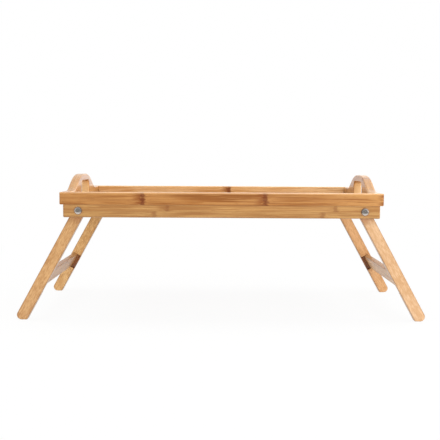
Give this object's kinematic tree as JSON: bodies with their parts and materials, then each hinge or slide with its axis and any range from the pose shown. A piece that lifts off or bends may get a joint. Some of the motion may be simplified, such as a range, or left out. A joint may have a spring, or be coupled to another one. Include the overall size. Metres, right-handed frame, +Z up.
{
  "type": "bed tray table",
  "caption": "Bamboo bed tray with raised hand holds at both ends and two folding leg frames that lean on end bars when open.",
  "frame": {"origin": "on the floor, under the middle of the tray, legs open", "axes": "+X to the right along the tray's length, +Y to the back, +Z up"},
  "size_m": [0.6432, 0.3058, 0.2274],
  "materials": {
    "bamboo_upper": "clear satin varnish on strip bamboo, honey",
    "bamboo_lower": "clear satin varnish on strip bamboo, yellower honey",
    "bamboo_handle": "clear satin varnish on strip bamboo, rounded edges",
    "bamboo_panel": "clear satin varnish on strip bamboo panel",
    "bamboo_leg": "clear satin varnish on pale strip bamboo",
    "dowel_wood": "plain, glued",
    "nylon": "natural nylon",
    "polished_steel": "bright nickel plate",
    "zinc_screw": "zinc plate"
  },
  "bodies": {
    "tray": {"front_upper_rail": "bamboo_upper", "back_upper_rail": "bamboo_upper", "left_end_board": "bamboo_handle", "right_end_board": "bamboo_handle", "tray_panel": "bamboo_panel", "front_lower_rail": "bamboo_lower", "back_lower_rail": "bamboo_lower", "left_stop_bar": "bamboo_lower", "right_stop_bar": "bamboo_lower", "left_front_pivot_bolt": "polished_steel", "left_back_pivot_bolt": "polished_steel", "right_front_pivot_bolt": "polished_steel", "right_back_pivot_bolt": "polished_steel", "left_front_lock_nut": "polished_steel", "left_back_lock_nut": "polished_steel", "right_front_lock_nut": "polished_steel", "right_back_lock_nut": "polished_steel", "lock_nut_inserts": "nylon", "leg_spacers": "nylon", "nut_washers": "polished_steel", "upper_corner_dowels": "dowel_wood", "lower_corner_dowels": "dowel_wood", "frame_screws": "zinc_screw"},
    "left_legs": {"left_front_leg": "bamboo_leg", "left_back_leg": "bamboo_leg", "left_crossbar": "bamboo_leg"},
    "right_legs": {"right_front_leg": "bamboo_leg", "right_back_leg": "bamboo_leg", "right_crossbar": "bamboo_leg"}
  },
  "joints": [
    {"name": "left_leg_fold", "type": "hinge", "parent": "tray", "child": "left_legs", "pos_m": [-0.2209, 0, 0.17351], "axis": [0, -1, 0], "range_deg": [0, 118.8]},
    {"name": "right_leg_fold", "type": "hinge", "parent": "tray", "child": "right_legs", "pos_m": [0.2209, 0, 0.17351], "axis": [0, 1, 0], "range_deg": [0, 118.8]}
  ]
}
